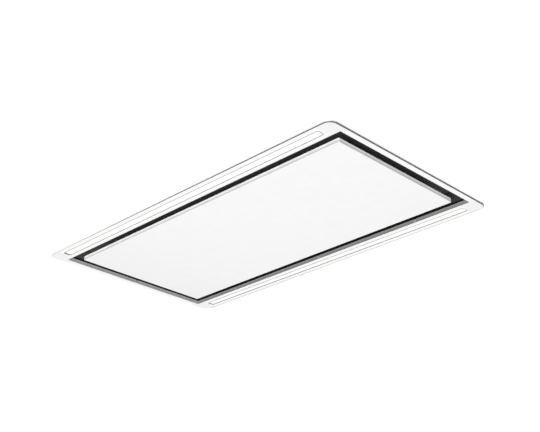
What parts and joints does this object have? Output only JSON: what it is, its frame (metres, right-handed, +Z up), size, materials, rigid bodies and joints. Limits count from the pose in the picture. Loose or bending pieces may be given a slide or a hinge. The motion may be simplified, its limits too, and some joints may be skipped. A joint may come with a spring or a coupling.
{
  "type": "ceiling range hood",
  "caption": "Ceiling range hood with a flat white frame, long light strips, a hinged suction panel, grease filters, a blower in a casing above and a side duct outlet.",
  "frame": {"origin": "centre of the ceiling cut-out, in the plane of the ceiling that the frame's rim lies against", "axes": "+X along the long side, +Z up into the ceiling; the front long side, where the cook stands, faces -Y"},
  "size_m": [1, 0.567, 0.3],
  "materials": {
    "white_coat": "satin",
    "white_plastic": "matte",
    "opal": "satin",
    "anodised": "satin",
    "circuit_white": "matte",
    "led_yellow": "matte",
    "honeycomb_board": "matte",
    "black_aluminium": "matte",
    "black_coat": "matte",
    "steel": "satin",
    "magnet": "satin",
    "black_plastic": "matte",
    "filter_aluminium": "satin",
    "galvanised": "satin",
    "seal_foam": "matte",
    "rubber": "matte",
    "motor_steel": "satin",
    "core_steel": "satin",
    "wheel_steel": "satin",
    "grey_plastic": "matte",
    "circuit_green": "satin",
    "relay_blue": "satin",
    "terminal_grey": "matte",
    "capacitor_white": "satin"
  },
  "bodies": {
    "root": {"ceiling_frame": "white_coat", "frame_gasket": "seal_foam", "frame_screws": "white_coat", "frame_nuts": "steel", "led_diffuser_front": "opal", "led_diffuser_rear": "opal", "led_channel_front": "anodised", "led_channel_rear": "anodised", "led_board_front": "circuit_white", "led_board_rear": "circuit_white", "led_chips": "led_yellow", "channel_end_caps": "white_plastic", "hinge_bracket_left": "black_coat", "hinge_bracket_right": "black_coat", "hinge_pins": "steel", "catch_magnets": "magnet", "catch_posts": "black_plastic", "suction_tray": "black_coat", "filter_frame_left": "filter_aluminium", "filter_frame_right": "filter_aluminium", "filter_mesh_left": "filter_aluminium", "filter_mesh_right": "filter_aluminium", "casing_body": "galvanised", "casing_screws": "steel", "inlet_ring": "galvanised", "scroll_housing": "galvanised", "scroll_cover": "galvanised", "motor_housing": "motor_steel", "motor_flange": "motor_steel", "motor_bearings": "steel", "motor_stator": "core_steel", "motor_isolators": "rubber", "motor_screws": "steel", "motor_box": "galvanised", "motor_capacitor": "capacitor_white", "duct_collar": "grey_plastic", "flap_pin": "steel", "control_box": "grey_plastic", "control_cover": "grey_plastic", "control_circuit": "circuit_green", "circuit_parts": "relay_blue", "led_driver": "white_plastic", "terminal_block": "terminal_grey", "cable_gland": "black_plastic", "rod_hangers": "galvanised"},
    "panel": {"panel_face": "white_coat", "panel_core": "honeycomb_board", "panel_back": "black_aluminium", "panel_hinge_left": "black_coat", "panel_hinge_right": "black_coat", "strike_plates": "steel"},
    "rotor": {"blower_wheel": "wheel_steel", "motor_shaft": "steel", "motor_rotor": "core_steel"},
    "flap_front": {"duct_flap_front": "anodised"},
    "flap_rear": {"duct_flap_rear": "anodised"},
    "latch_left": {"filter_latch_left": "black_plastic"},
    "latch_right": {"filter_latch_right": "black_plastic"}
  },
  "joints": [
    {"name": "panel_swing", "type": "hinge", "parent": "root", "child": "panel", "pos_m": [0, 0.18525, 0.013], "axis": [1, 0, 0], "range_deg": [0, 90]},
    {"name": "wheel_spin", "type": "hinge", "parent": "root", "child": "rotor", "pos_m": [0, 0, 0.2], "axis": [0, 0, -1], "continuous": true},
    {"name": "flap_front_swing", "type": "hinge", "parent": "root", "child": "flap_front", "pos_m": [0.2212, 0.099, 0.21], "axis": [0, 0, 1], "range_deg": [0, 80], "stiffness_Nm_per_rad": 0.01, "springref_deg": -17.19},
    {"name": "flap_rear_swing", "type": "hinge", "parent": "root", "child": "flap_rear", "pos_m": [0.2212, 0.099, 0.21], "axis": [0, 0, -1], "range_deg": [0, 80], "stiffness_Nm_per_rad": 0.01, "springref_deg": -17.19},
    {"name": "latch_left_slide", "type": "slide", "parent": "root", "child": "latch_left", "axis": [0, 1, 0], "range_m": [0, 0.0065], "stiffness_N_per_m": 200},
    {"name": "latch_right_slide", "type": "slide", "parent": "root", "child": "latch_right", "axis": [0, 1, 0], "range_m": [0, 0.0065], "stiffness_N_per_m": 200}
  ]
}
